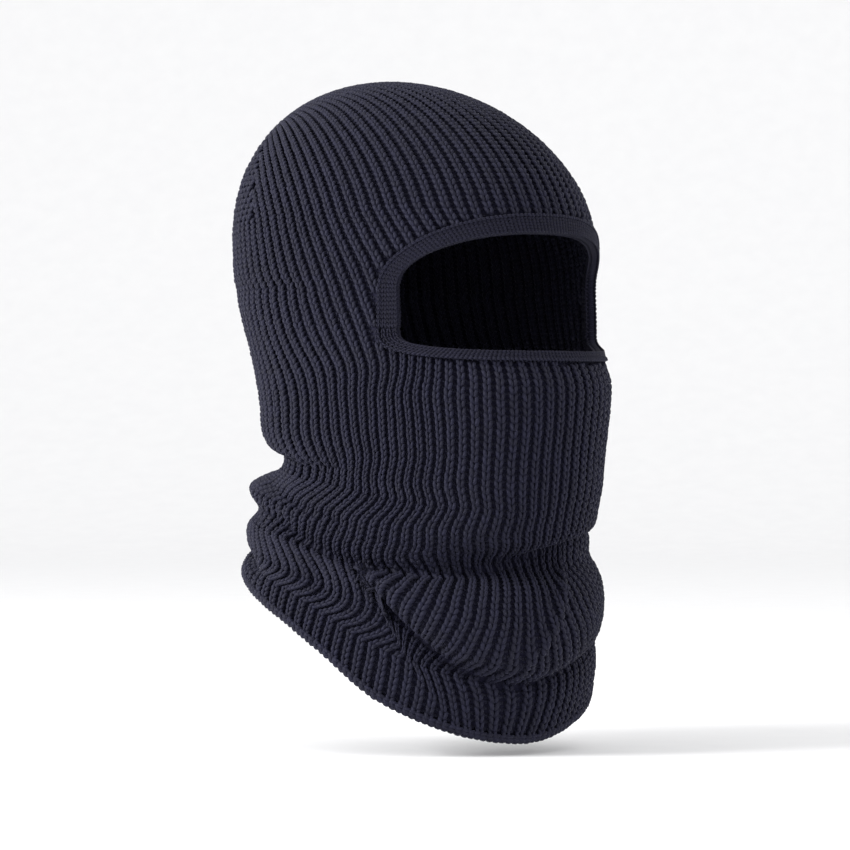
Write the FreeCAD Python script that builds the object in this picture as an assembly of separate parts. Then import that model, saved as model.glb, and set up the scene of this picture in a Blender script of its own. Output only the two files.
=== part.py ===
import FreeCAD, Part
import math
import os

# Rib-knit balaclava, drawn over a head. Millimetres. +Z is up, the face looks along -Y, and +X is the
# wearer's left. The origin is on the head's centre line, at the height of the top of the head.

# ---- Driving dimensions ----------------------------------------------------------------------------

knit_thickness = 4.5        # stretched rib knit, worn

# Crown: half of a leaning ellipsoid, over the knit
crown_width = 164.0         # across the head above the ears
crown_length = 206.0        # forehead to back of the head
crown_height = 84.5         # from the widest level to the outside of the crown
crown_lean = 18.0           # how far the top of the crown lies behind the middle of the widest level
widest_level = -80.0        # height of the widest level
pole_tilt = 30.0            # the point where the ribs gather, in degrees back from straight up
cap_angle = 6.0             # size of the small flat cap at that point, in degrees

# Face opening, seen from the front
opening_half_width = 64.0
opening_top = -75.5
opening_bottom = -133.0
opening_upper_bend = -104.0     # below this height the two ends run straight down
opening_lower_bend = -122.0     # below this height they round into the bottom edge
top_squareness = 2.5
bottom_squareness = 4.0

# Bands round the opening, seen from the front, and their threads
band_top_margin = 7.5
band_side_margin = 4.0
mouth_band_margin = 4.0
band_thickness = 3.6
thread_width = 1.6
thread_height = 0.8

# Crown seam: it lies in a plane that leans back from above the ears to the pole
seam_low_end = -74.0
seam_low_y = 27.5
pole_lean = math.radians(pole_tilt)
pole_y = crown_length / 2.0 * math.sin(pole_lean) + crown_lean * math.cos(pole_lean)
pole_z = widest_level + crown_height * math.cos(pole_lean)
seam_lean = math.degrees(math.atan2(pole_y - seam_low_y, pole_z - seam_low_end))
seam_width = 4.0
seam_height = 1.6
tack_radius = 7.0
tack_height = 2.6

# Neck hem
cast_off_depth = 2.5
cast_off_overhang = 0.6

# Label, inside at the nape
label_width = 38.0
label_top = -136.0
label_length = 26.0
label_thickness = 0.7
label_stitch_drop = 2.5
label_stitch_inset = 2.0
lie_clearance = 0.1         # between the label and the knit behind it

loop_points = 28
prism_reach = 160.0
prism_stop = 8.0            # how far in front of the head's centre line the prisms stop
past_hem = 8.0              # how far a layer's outer face runs past the hem before it is trimmed
hollow_drop = 12.0          # how far the hollow runs past the hem
cast_off_overcut = 1.0      # past both ends of the cast-off, for a clean cut


class Ring:
    """One closed section of the tube below the crown: its front and back heights, and its reaches."""

    def __init__(self, front_z, back_z, half_width, front, back, squareness):
        self.front_z = front_z
        self.back_z = back_z
        self.half_width = half_width
        self.front = front
        self.back = back
        self.squareness = squareness


# From the widest level down to the hem. The rings tilt more and more: the nape is short and crumpled,
# and the chest side hangs long.
rings = [
    Ring(-98.0, -98.0, 81.5, 104.0, 101.5, 2.0),       # brow
    Ring(-115.0, -115.0, 79.5, 105.0, 96.0, 2.1),      # eyes
    Ring(-133.0, -130.0, 78.0, 108.0, 88.0, 2.15),     # bridge of the nose
    Ring(-148.0, -143.0, 77.0, 115.5, 82.5, 2.2),      # tip of the nose
    Ring(-165.0, -157.0, 75.5, 115.5, 79.0, 2.2),      # mouth
    Ring(-184.0, -169.0, 74.0, 113.0, 79.0, 2.2),      # chin
    Ring(-200.0, -177.0, 73.0, 111.5, 73.0, 2.2),      # under the skull at the back
    Ring(-212.0, -184.0, 72.0, 109.0, 63.0, 2.2),      # deep nape crease
    Ring(-225.0, -195.0, 77.0, 103.0, 90.0, 2.15),     # nape roll
    Ring(-238.0, -205.0, 79.0, 93.0, 79.0, 2.1),       # crease under the chin
    Ring(-251.5, -211.0, 82.5, 105.0, 84.0, 2.05),     # top of the bib
    Ring(-269.0, -216.0, 86.0, 111.0, 80.0, 2.0),      # the bib's swag
    Ring(-288.0, -218.5, 86.5, 98.0, 81.0, 2.0),       # crease above the hem
    Ring(-304.5, -221.0, 88.0, 96.0, 83.0, 2.0),       # hem band
    Ring(-321.5, -223.0, 88.0, 91.5, 82.0, 2.0),       # hem
]

crown_angles = [cap_angle, 18.0, 32.0, 46.0, 60.0, 75.0, 90.0]


# ---- Sections of the tube --------------------------------------------------------------------------

def closed_curve(points):
    curve = Part.BSplineCurve()
    curve.interpolate(points, PeriodicFlag=True)
    return Part.Wire(curve.toShape())


def around():
    """Angles round a loop: 0 is the front, a quarter turn is the wearer's left."""
    return [2.0 * math.pi * k / loop_points for k in range(loop_points)]


def crown_loop(angle, inset):
    """A loop on the crown, this many degrees from the pole, at this depth under the outer face."""
    polar = math.radians(angle)
    tilt = math.radians(pole_tilt * (1.0 - angle / 90.0))
    half_width = crown_width / 2.0 - inset
    half_length = crown_length / 2.0 - inset
    height = crown_height - inset
    points = []
    for turn in around():
        forward = math.sin(polar) * math.cos(turn)
        aside = math.sin(polar) * math.sin(turn)
        up = math.cos(polar) * math.cos(tilt) + forward * math.sin(tilt)
        back = math.cos(polar) * math.sin(tilt) - forward * math.cos(tilt)
        x = half_width * aside
        y = half_length * back + crown_lean * up
        z = widest_level + height * up
        points.append(FreeCAD.Vector(x, y, z))
    return closed_curve(points)


def ring_loop(ring, inset, drop=0.0):
    """A ring below the crown, at this depth under the outer face, moved down by drop."""
    slope = (ring.back_z - ring.front_z) / (ring.front + ring.back)
    power = ring.squareness
    points = []
    for turn in around():
        forward = math.cos(turn)
        aside = math.sin(turn)
        fullness = (abs(forward) ** power + abs(aside) ** power) ** (-1.0 / power)
        x = (ring.half_width - inset) * fullness * aside
        if forward > 0.0:
            y = -(ring.front - inset) * fullness * forward
        else:
            y = -(ring.back - inset) * forward
            x = (ring.half_width - inset) * aside
        z = ring.front_z + slope * (y + ring.front) - drop
        points.append(FreeCAD.Vector(x, y, z))
    return closed_curve(points)


def hood_solid(inset, drop=0.0):
    """The whole hood filled in, its surface at this depth, with the hem carried down by drop."""
    loops = [crown_loop(angle, inset) for angle in crown_angles]
    loops += [ring_loop(ring, inset) for ring in rings]
    if drop > 0.0:
        loops.append(ring_loop(rings[-1], inset, drop))
    return Part.makeLoft(loops, True, False)


def layer(outer_inset, inner_inset):
    """The part of the wall between two depths. It runs past the hem."""
    return hood_solid(outer_inset, past_hem).cut(hood_solid(inner_inset, 2.0 * past_hem))


# ---- Prisms that cut pieces out of the wall ---------------------------------------------------------

def opening_prism(top_margin, side_margin, bottom_margin):
    """The outline of the face opening, grown by margins, carried through the front wall."""
    half = opening_half_width + side_margin
    rise = opening_top + top_margin - opening_upper_bend
    fall = opening_lower_bend - opening_bottom + bottom_margin
    steps = 12
    upper = []
    lower = []
    for k in range(steps + 1):
        turn = math.pi * k / steps
        across = half * math.cos(turn)
        share = min(1.0, abs(math.cos(turn)))
        top_full = (1.0 - share ** top_squareness) ** (1.0 / top_squareness)
        low_full = (1.0 - share ** bottom_squareness) ** (1.0 / bottom_squareness)
        upper.append(FreeCAD.Vector(across, -prism_reach, opening_upper_bend + rise * top_full))
        lower.append(FreeCAD.Vector(across, -prism_reach, opening_lower_bend - fall * low_full))
    top_curve = Part.BSplineCurve()
    top_curve.interpolate(upper)
    low_curve = Part.BSplineCurve()
    low_curve.interpolate(lower)
    edges = [
        top_curve.toShape(),
        Part.LineSegment(upper[-1], lower[-1]).toShape(),
        low_curve.toShape(),
        Part.LineSegment(lower[0], upper[0]).toShape(),
    ]
    outline = Part.Wire(Part.__sortEdges__(edges))
    return Part.Face(outline).extrude(FreeCAD.Vector(0.0, prism_reach - prism_stop, 0.0))


def mouth_half_space(top_z):
    """Everything in front and below a height, for parting the mouth edge from the brow band."""
    width = 2.0 * prism_reach
    corner = FreeCAD.Vector(-prism_reach, -prism_reach, top_z - prism_reach)
    return Part.makeBox(width, prism_reach, prism_reach, corner)


def seam_slab(width):
    """A slab along the crown seam's plane, above the seam's low ends."""
    slab = Part.makeBox(2.0 * prism_reach, width, prism_reach)
    slab.translate(FreeCAD.Vector(-prism_reach, -width / 2.0, 0.0))
    slab.rotate(FreeCAD.Vector(0.0, 0.0, 0.0), FreeCAD.Vector(1.0, 0.0, 0.0), -seam_lean)
    slab.translate(FreeCAD.Vector(0.0, seam_low_y, seam_low_end))
    return slab


def pole_cylinder(radius, from_inset, depth):
    """A disc on the crown's flat cap, from this depth inwards."""
    polar = math.radians(cap_angle)
    tilt = math.radians(pole_tilt * (1.0 - cap_angle / 90.0))
    up = math.cos(polar) * math.cos(tilt)
    back = math.cos(polar) * math.sin(tilt)
    y = (crown_length / 2.0 - from_inset) * back + crown_lean * up
    z = widest_level + (crown_height - from_inset) * up
    across = crown_loop(cap_angle, from_inset)
    front = across.discretize(Number=3)[0]
    middle = FreeCAD.Vector(0.0, y, z)
    along = FreeCAD.Vector(0.0, front.y - y, front.z - z)
    inward = along.cross(FreeCAD.Vector(1.0, 0.0, 0.0))
    if inward.z > 0.0:
        inward = inward.negative()
    return Part.makeCylinder(radius, depth, middle, inward)


# ---- Pieces ----------------------------------------------------------------------------------------

outer_hood = hood_solid(0.0)
hollow = hood_solid(knit_thickness, hollow_drop)
bands_outline = opening_prism(band_top_margin, band_side_margin, mouth_band_margin)
clear_outline = opening_prism(0.0, 0.0, 0.0)

hood_shell = outer_hood.cut(hollow).cut(bands_outline)

# The two bands fill the margin between the shell's cut edge and the clear opening. They are thinner
# than the ribbed wall and sit in the middle of it.
band_sink = (knit_thickness - band_thickness) / 2.0
band_wall = layer(band_sink, band_sink + band_thickness)
band_ring = band_wall.common(bands_outline).cut(clear_outline)
lower_half = mouth_half_space(opening_lower_bend)
brow_band = band_ring.cut(lower_half)
mouth_edge_band = band_ring.common(lower_half)

# Linking threads lie on the wall, just outside the bands' border.
thread_wall = layer(-thread_height, 0.0)
thread_outline = opening_prism(
    band_top_margin + thread_width, band_side_margin + thread_width, mouth_band_margin + thread_width)
thread_ring = thread_wall.common(thread_outline).cut(bands_outline)
band_linking_thread = thread_ring.cut(lower_half)
mouth_edge_thread = thread_ring.common(lower_half)

# The crown seam is a ridge inside the wall, and the tack lies over its middle.
seam_wall = layer(knit_thickness, knit_thickness + seam_height)
crown_tack = pole_cylinder(tack_radius, knit_thickness, tack_height)
crown_seam_thread = seam_wall.common(seam_slab(seam_width)).cut(crown_tack)

# The cast-off chain continues the wall below the hem.
hem = rings[-1]
cast_off_outer = Part.makeLoft(
    [ring_loop(hem, -cast_off_overhang), ring_loop(hem, -cast_off_overhang, cast_off_depth)], True, True)
cast_off_inset = knit_thickness + cast_off_overhang
cut_top = -cast_off_overcut
cut_bottom = cast_off_depth + cast_off_overcut
cast_off_inner = Part.makeLoft(
    [ring_loop(hem, cast_off_inset, cut_top), ring_loop(hem, cast_off_inset, cut_bottom)], True, True)
hem_cast_off = cast_off_outer.cut(cast_off_inner)

# The label lies against the inside of the nape, with its stitches on it.
label_inset = knit_thickness + lie_clearance
label_wall = layer(label_inset, label_inset + label_thickness)
label_corner = FreeCAD.Vector(-label_width / 2.0, 0.0, label_top - label_length)
label_prism = Part.makeBox(label_width, prism_reach, label_length, label_corner)
care_label = label_wall.common(label_prism)
stitch_wall = layer(label_inset + label_thickness, label_inset + label_thickness + thread_height)
stitch_length = label_width - 2.0 * label_stitch_inset
stitch_corner = FreeCAD.Vector(-stitch_length / 2.0, 0.0, label_top - label_stitch_drop - thread_width)
stitch_prism = Part.makeBox(stitch_length, prism_reach, thread_width, stitch_corner)
label_thread = stitch_wall.common(stitch_prism)

pieces = {
    "hood_shell": hood_shell,
    "brow_band": brow_band,
    "mouth_edge_band": mouth_edge_band,
    "band_linking_thread": band_linking_thread,
    "mouth_edge_thread": mouth_edge_thread,
    "crown_seam_thread": crown_seam_thread,
    "crown_tack": crown_tack,
    "hem_cast_off": hem_cast_off,
    "care_label": care_label,
    "label_thread": label_thread,
}

os.makedirs("parts", exist_ok=True)
for name, shape in pieces.items():
    solids = shape.Solids
    kept = solids[0] if len(solids) == 1 else Part.makeCompound(solids)
    kept.exportStep("parts/" + name + ".step")
    box = kept.BoundBox
    print(f"{name}: {len(solids)} solids, valid {kept.isValid()}, volume {kept.Volume:.0f}, "
          f"x {box.XMin:.1f} {box.XMax:.1f}, y {box.YMin:.1f} {box.YMax:.1f}, z {box.ZMin:.1f} {box.ZMax:.1f}")
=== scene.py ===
# %% [markdown]
# # A rib-knit balaclava, stitch by stitch The real thing is one length of chunky one-by-one rib, knitted as
# a tube. It is closed by a seam over the back of the crown, and its face opening is finished with a fine
# band. This lesson builds it the same way: first the shape that the fabric takes on a head, then the
# stitches that lie on that shape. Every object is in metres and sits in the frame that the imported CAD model
# gives.

# %% Load the frame
import math

import bpy
import numpy as np
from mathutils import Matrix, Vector


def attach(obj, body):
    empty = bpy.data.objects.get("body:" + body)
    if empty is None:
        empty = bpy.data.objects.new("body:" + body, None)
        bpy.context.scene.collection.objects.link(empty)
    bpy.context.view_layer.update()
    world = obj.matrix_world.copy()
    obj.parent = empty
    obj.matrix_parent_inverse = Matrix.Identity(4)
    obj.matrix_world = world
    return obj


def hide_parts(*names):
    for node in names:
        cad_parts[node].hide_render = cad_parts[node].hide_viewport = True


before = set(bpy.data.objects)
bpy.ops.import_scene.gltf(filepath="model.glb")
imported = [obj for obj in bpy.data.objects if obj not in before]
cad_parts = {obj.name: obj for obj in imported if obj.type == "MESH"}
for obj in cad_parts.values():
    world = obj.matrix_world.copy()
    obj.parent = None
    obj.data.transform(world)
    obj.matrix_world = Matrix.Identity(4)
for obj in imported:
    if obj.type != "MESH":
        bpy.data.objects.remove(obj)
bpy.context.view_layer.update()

chance = np.random.default_rng(84)

# %% [markdown]
# ## Camera, floor and light
# A long lens from a little over two metres keeps a head's proportions true. The floor is pale and plain,
# and the world behind it is as bright, so the dark knit is all that draws the eye. A broad key light from
# the left rakes over the ribs, and a weak fill keeps their shaded sides readable.

# %% Camera
scene = bpy.context.scene
view_turn = math.radians(-40)
to_camera = Vector((math.sin(view_turn), -math.cos(view_turn), 0.0))
to_right = Vector((math.cos(view_turn), math.sin(view_turn), 0.0))
aim = to_right * 0.006 + Vector((0, 0, -0.1685))
camera = bpy.data.objects.new("camera", bpy.data.cameras.new("camera"))
scene.collection.objects.link(camera)
camera.data.lens, camera.data.sensor_width = 186, 36
camera.location = aim + to_camera * 2.2
camera.rotation_euler = to_camera.to_track_quat("Z", "Y").to_euler()
scene.camera = camera
scene.view_settings.view_transform = "Standard"

# %% A class for shader maths
# One object wraps one socket, so node maths reads like ordinary Python.


class Shade:
    """A material's node tree, or one value in it."""

    def __init__(self, tree, socket=None):
        self.tree, self.socket = tree, socket

    def node(self, kind, settings=None, output=0, **inputs):
        """Adds a node: its settings first, then the values or links of its sockets."""
        made = self.tree.nodes.new("ShaderNode" + kind)
        for name, value in (settings or {}).items():
            if name == "stops":
                while len(made.color_ramp.elements) < len(value):
                    made.color_ramp.elements.new(0.5)
                for stop, (place, colour) in zip(made.color_ramp.elements, value):
                    stop.position, stop.color = place, (*colour, 1)
            else:
                setattr(made, name, value)
        for name, value in inputs.items():
            slot = made.inputs[int(name[1:]) if name[1:].isdigit() else name.replace("_", " ")]
            if isinstance(value, Shade):
                self.tree.links.new(value.socket, slot)
            else:
                slot.default_value = value
        return Shade(self.tree, made.outputs[output])

    def maths(self, operation, *values):
        return self.node("Math", {"operation": operation}, **{f"i{k}": v for k, v in enumerate(values)})

    def __add__(self, other): return self.maths("ADD", self, other)
    def __radd__(self, other): return self.maths("ADD", other, self)
    def __sub__(self, other): return self.maths("SUBTRACT", self, other)
    def __rsub__(self, other): return self.maths("SUBTRACT", other, self)
    def __mul__(self, other): return self.maths("MULTIPLY", self, other)
    def __rmul__(self, other): return self.maths("MULTIPLY", other, self)
    def __truediv__(self, other): return self.maths("DIVIDE", self, other)
    def __pow__(self, other): return self.maths("POWER", self, other)

    def part(self, number): return Shade(self.tree, self.socket.node.outputs[number])
    def drive(self, shader, name): self.tree.links.new(self.socket, shader.inputs[name])
    def sine(self): return self.maths("SINE", self)
    def floor(self): return self.maths("FLOOR", self)
    def size(self): return self.maths("ABSOLUTE", self)

    def between(self, dark, light):
        """A colour from dark to light, by this value."""
        return self.node("Mix", {"data_type": "RGBA"}, 2, i0=self, i6=(*dark, 1), i7=(*light, 1))

# %% [markdown]
# ## The shape of the worn tube
# Above the widest level of the head the fabric follows the skull, and its ribs gather at a point a third of
# the way down the back. Below, rings describe the tube: each has its own height at the front and back, and
# its own reach forwards, backwards and sideways. All lengths in this part are millimetres.

# %% Crown and rings


def crown(turn, polar):
    """A place on the crown. turn is 0 in front and grows to the wearer's right. polar counts from the pole."""
    tilt = math.radians(30) * (1 - polar / (math.pi / 2))
    forward, aside = np.sin(polar) * np.cos(turn), np.sin(polar) * np.sin(turn)
    up = np.cos(polar) * np.cos(tilt) + forward * np.sin(tilt)
    back = np.cos(polar) * np.sin(tilt) - forward * np.cos(tilt)
    lean = 20 * np.abs(up) ** 1.4
    return np.stack([-82 * aside, 103 * back + lean, -80 + 84.5 * up], -1)


def ring(turn, front_z, back_z, half_width, front, back, square, side_rise):
    """A closed section of the tube below the crown, tilted between its front and back heights."""
    forward, aside = np.cos(turn), np.sin(turn)
    full = (np.abs(forward) ** square + np.abs(aside) ** square) ** (-1 / square)
    full = np.where(forward > 0, full, 1.0)
    y = np.where(forward > 0, -front * full * forward, -back * forward)
    z = front_z + (back_z - front_z) / (front + back) * (y + front) + side_rise * aside ** 4
    return np.stack([-half_width * full * aside, y, z], -1)


rings = [
    (-98, -98, 81.5, 104, 101.5, 2.0, 0),         # brow
    (-115, -115, 79.5, 105, 96, 2.1, 0),          # eyes
    (-133, -130, 78, 108, 88, 2.15, 0),           # bridge of the nose
    (-148, -143, 77, 115.5, 82.5, 2.2, 0),        # tip of the nose
    (-165, -157, 75.5, 115.5, 79, 2.2, 0),        # mouth
    (-184, -169, 74, 113, 79, 2.2, 0),            # chin
    (-200, -177, 73, 111.5, 73, 2.2, 0),          # under the skull at the back
    (-212, -184, 72, 109, 63, 2.2, 0),            # nape crease
    (-225, -195, 77, 103, 90, 2.15, 0),           # nape roll
    (-238, -205, 79, 93, 80, 2.1, 0),             # crease under the chin
    (-251.5, -211, 82.5, 98, 84, 2.05, 1.5),      # top of the bib
    (-269, -216, 86, 98, 80, 2.0, 4),             # middle of the bib
    (-288, -218.5, 86.5, 96, 81, 2.0, 7),         # above the hem
    (-304.5, -221, 88, 96, 83, 2.0, 8.5),         # hem band
    (-321.5, -223, 88, 91.5, 82, 2.0, 9.5),       # hem
]
turns = np.radians(np.linspace(-180, 180, 721))
stations = [crown(turns, math.radians(p)) for p in (60, 70, 80, 90)] + [ring(turns, *r) for r in rings]
stations = np.array(stations)
stations = np.concatenate([stations, 2 * stations[-1:] - stations[-2:-1]])

# %% A smooth skin through the rings


def smooth_through(values, knots, places):
    """Reads a smooth curve that passes through values (along axis 0) at knots."""
    step = np.diff(knots)
    shape = (-1,) + (1,) * (values.ndim - 1)
    slope = np.diff(values, axis=0) / step.reshape(shape)
    before, after = step[:-1].reshape(shape), step[1:].reshape(shape)
    inner = (slope[:-1] * after + slope[1:] * before) / (before + after)
    tangent = np.concatenate([slope[:1], inner, slope[-1:]])
    k = np.clip(np.searchsorted(knots, places, side="right") - 1, 0, len(knots) - 2)
    h = step[k].reshape(shape)
    f = ((places - knots[k]) / step[k]).reshape(shape)
    return ((2 * f ** 3 - 3 * f ** 2 + 1) * values[k] + (f ** 3 - 2 * f ** 2 + f) * h * tangent[k]
            + (3 * f ** 2 - 2 * f ** 3) * values[k + 1] + (f ** 3 - f ** 2) * h * tangent[k + 1])


gaps = np.linalg.norm(np.diff(stations, axis=0), axis=2).mean(axis=1)
knots = np.concatenate([[0], np.cumsum(gaps)])
tube_start, tube_end = knots[2], knots[-2]
levels = np.linspace(tube_start, tube_end, 460)
skin = smooth_through(stations, knots, levels)          # [level, turn, xyz]
print("skin", skin.shape, "from z", round(skin[0, 360, 2], 1), "to", round(skin[-1, 360, 2], 1))

# %% [markdown]
# ## Folds
# The neck is longer than the wearer's own neck, so it crumples. Each crease is a line round the tube, given
# by its height at several turns, with a depth that fades at its ends. Between the crease under the chin and
# the crease above the hem the fabric hangs out in a swag, fullest near its lower edge.

# %% Creases and the swag
degrees = np.degrees(turns)


def along(table):
    """A value that changes smoothly with the turn, from a table of (turn in degrees, value)."""
    at, value = np.array(table, float).T
    rough = np.interp(degrees[:-1], at, value, period=360)
    blur = np.exp(-0.5 * (np.arange(-14, 15) / 6) ** 2)
    even = np.convolve(np.concatenate([rough[-14:], rough, rough[:14]]), blur / blur.sum(), "valid")
    return np.append(even, even[0])


def notch(gap, width):
    """A crease's profile: 1 on its line, with a narrow foot."""
    return np.exp(-(np.sqrt(gap ** 2 + 0.8) - 0.9) / width)


def hill(gap, width):
    return np.exp(-(gap / width) ** 2)


chin_line = along([(-180, -204.5), (-135, -208), (-90, -214), (-60, -218), (-40, -222), (-25, -226),
                   (-16, -229.5),
                   (5, -236), (27, -238.5), (52, -236.5), (67, -232.5), (76, -228.5), (85, -223.5),
                   (92, -219.5),
                   (99, -214), (110, -210.5), (135, -209.5)])
swag_line = along([(-180, -218), (-90, -217), (-75, -218), (-62, -240), (-50, -265), (-35, -281),
                   (-20, -286.5),
                   (-4, -291), (5, -293), (12, -293), (23, -288), (31, -282.5), (38, -274), (45, -264.5),
                   (56, -248), (66, -233), (72, -229.5), (90, -222), (135, -212)])
nape_line = along([(-180, -182), (-135, -185), (-100, -189), (-75, -192), (0, -200), (75, -191),
                   (100, -188),
                   (135, -184.5)])
lobe_line = along([(-180, -190), (-60, -215), (0, -220), (60, -222), (72, -216), (84, -210), (97, -203.5),
                   (115, -196), (130, -193)])
back_line = along([(-180, -215), (-135, -223), (-100, -236), (0, -250), (95, -243), (115, -233),
                   (135, -227.5)])
nape_depth = along([(-180, 6), (-100, 4), (-75, 0), (0, 0), (70, 0), (80, 4.5), (100, 6), (135, 6)])
lobe_depth = along([(-180, 0), (0, 0), (66, 0), (74, 3.5), (100, 4.5), (115, 3), (124, 0)])
chin_depth = along([(-180, 3), (-90, 4), (-40, 5), (0, 7), (40, 8), (66, 9), (85, 6.5), (100, 4), (112, 2),
                    (135, 2)])
back_depth = along([(-180, 5), (-130, 5), (-105, 0), (0, 0), (98, 0), (114, 6), (135, 7)])
swag_full = along([(-180, 0), (-72, 0), (-58, 2), (-45, 4), (-30, 5.5), (-15, 9), (0, 12.5), (15, 14),
                   (30, 12.5),
                   (42, 10), (54, 6.5), (64, 2), (69, 0)])
z = skin[:, :, 2]
swag_height = np.maximum(chin_line - swag_line, 1.0)
swag_place = (chin_line - z) / swag_height              # 0 at the chin crease, 1 at the crease above the hem
in_swag = np.clip(swag_place, 0, 1)
ridge_turn = -16 + 27 * np.clip(swag_place / 0.8, 0, 1)
from_ridge = (degrees - ridge_turn) * 1.75              # millimetres round the tube

push = -nape_depth * notch(z - nape_line, 3.4)
push -= lobe_depth * notch(z - lobe_line, 3.0)
push -= chin_depth * notch(z - chin_line, 3.2)
push -= back_depth * notch(z - back_line, 2.6)
push += swag_full * np.sin(math.pi * in_swag ** 1.55) ** 0.85
push -= 3.5 * (swag_full > 0.5) * np.clip(swag_full / 6, 0, 1) * notch(z - swag_line, 3.0)
push += 2.6 * hill(from_ridge, 4.0) * np.sin(math.pi * np.clip(in_swag / 0.95, 0, 1)) ** 0.5
push -= 3.6 * hill(degrees - 78 - (z + 232) * 0.25, 4.5) * hill(z + 244, 11)
push -= 2.6 * notch(z + 101, 4.5) * np.clip((degrees - 72) / 20, 0, 1) * np.clip((140 - degrees) / 15, 0, 1)
push -= 1.5 * notch(z + 103, 5.0) * np.clip((-70 - degrees) / 20, 0, 1) * np.clip((degrees + 150) / 15, 0,
                                                            1)
drop = 3.5 * swag_full / 14 * hill(in_swag - 0.82, 0.16) * (swag_place < 1.0)

# %% Push the skin along its own normals


def normals_of(grid):
    """Unit normals of a grid of points, facing out of the tube."""
    down, across = np.gradient(grid, axis=0), np.gradient(grid, axis=1)
    normal = np.cross(across, down)
    normal /= np.linalg.norm(normal, axis=2, keepdims=True) + 1e-9
    outward = grid - grid.mean(axis=1, keepdims=True)
    return normal * np.sign((normal * outward).sum())


skin = skin + push[:, :, None] * normals_of(skin)
skin[:, :, 2] -= drop
hem_lift = along([(-180, 0), (-120, 3), (-80, 4), (-45, 4), (-22, 4.5), (0, 0), (42, -1.5), (55, -2.5),
                  (70, 1.5),
                  (84, 1), (100, -1.5), (135, -4)])
skin[:, :, 2] += hem_lift * np.clip((chin_line - z) / (chin_line - z[-1]), 0, 1)
skin[:, -1] = skin[:, 0]
print("deepest crease", round(push.min(), 1), "mm, fullest swag", round(push.max(), 1), "mm")

# %% [markdown]
# ## Wales and rows
# A knitter counts fabric in wales, the columns of stitches, and rows. This tube has 84 ribs. Once every
# place on the skin can be found from its wale and row, each stitch can be laid where the machine would have
# made it. On the crown the ribs run unbroken from the brow to the seam, and those nearer the seam run into
# it sooner.

# %% Panels: from wale and row to a place on the skin
wales, tube_rows, row_height = 84, 84, 3.3
seam_wale = 25.5                                        # ribs from the front's middle to the crown seam
per_wale, per_row = 8, 4


def evenly(column, count_or_step):
    """A column of points, read again at equal lengths."""
    length = np.concatenate([[0], np.cumsum(np.linalg.norm(np.diff(column, axis=0), axis=1))])
    if isinstance(count_or_step, int):
        at = np.linspace(0, length[-1], count_or_step)
    else:
        at = np.arange(0, length[-1], count_or_step)
    return np.stack([np.interp(at, length, column[:, k]) for k in range(3)], 1), at, length


def loop_length(points):
    """Length round a loop from the front, signed, for every turn."""
    step = np.linalg.norm(np.diff(points, axis=0), axis=1)
    length = np.concatenate([[0], np.cumsum(step)])
    return length - np.interp(0, turns, length)


class Panel:
    """A piece of the skin as a grid of wales and rows, read at any place between them."""

    def __init__(self, points, first_wale, first_row, wraps=False, density=(per_wale, per_row)):
        self.points, self.first_wale, self.first_row, self.wraps = points, first_wale, first_row, wraps
        self.density = density
        normal = np.cross(np.gradient(points, axis=0), np.gradient(points, axis=1))
        normal /= np.linalg.norm(normal, axis=2, keepdims=True) + 1e-9
        outward = points - np.array([0, 10, points[:, :, 2].mean() - 20])
        self.normals = normal * np.sign((normal * outward).sum())
        if wraps:
            ends = self.normals[0] + self.normals[-1]
            self.normals[0] = self.normals[-1] = ends / np.linalg.norm(ends, axis=1, keepdims=True)

    def at(self, wale, row):
        """Places and unit normals at these wales and rows, in millimetres."""
        i = (np.asarray(wale, float) - self.first_wale) * self.density[0]
        if self.wraps:
            i = i % (len(self.points) - 1)
        j = (np.asarray(row, float) - self.first_row) * self.density[1]
        i0 = np.clip(np.floor(i), 0, self.points.shape[0] - 2).astype(int)
        j0 = np.clip(np.floor(j), 0, self.points.shape[1] - 2).astype(int)
        u, v = (i - i0)[..., None], (j - j0)[..., None]

        def mix(g):
            return (g[i0, j0] * (1 - u) * (1 - v) + g[i0 + 1, j0] * u * (1 - v)
                    + g[i0, j0 + 1] * (1 - u) * v + g[i0 + 1, j0 + 1] * u * v)
        normal = mix(self.normals)
        return mix(self.points), normal / (np.linalg.norm(normal, axis=-1, keepdims=True) + 1e-9)


# %% Ribs that lean and fan
# How far each part of the skin carries its ribs sideways, in millimetres round the tube. The opening draws
# the side ribs forwards above it and lets them back below. They snake where the fabric is slack behind the
# ear. Inside the swag they fan out from its sharp fold. The table is given.
drift_turns = [0, 20, 36, 47, 57, 66, 80, 94, 110, 135, 180]
drift_rows = [
    (-62, [0, 0, 0, 0, 0, 0, 0, 0, 0, 0, 0]),
    (-78, [0, -3, -8, -10, -9, -8, -6, -4, -2, -1, 0]),
    (-93, [0, -4, -12, -18, -18, -17, -13, -9, -4, -1, 0]),
    (-108, [0, -3, -12, -20, -22, -21, -16, -12, -6, -1, 0]),
    (-123, [0, -2, -8, -16, -21, -24, -19, -12, -6, -1, 0]),
    (-138, [0, -1.5, -4, -8, -15, -22, -22, -16, -8, -2, 0]),
    (-153, [0, 0, -1, -2, -7, -14, -17, -17, -9, -3, 0]),
    (-168, [0, -1, -2, -4, -9, -14, -18, -15, -8, -3, 0]),
    (-183, [0, -1, -3, -6, -11, -16, -22, -18, -10, -3, 0]),
    (-198, [0, 0, -1, -1, -4, -8, -10, -11, -7, -3, 0]),
    (-213, [0, -1, -2, -4, -8, -11, -13, -11, -7, -2, 0]),
    (-228, [0, -6, -9, -12, -12, -12, -13, -10, -6, -2, 0]),
    (-243, [0, -5, -8, -10, -10, -10, -10, -8, -5, -2, 0]),
    (-275, [0, -2, -3, -4, -4, -4, -4, -3, -2, -1, 0]),
]
drift_heights = np.array([row[0] for row in drift_rows[::-1]], float)
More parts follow.
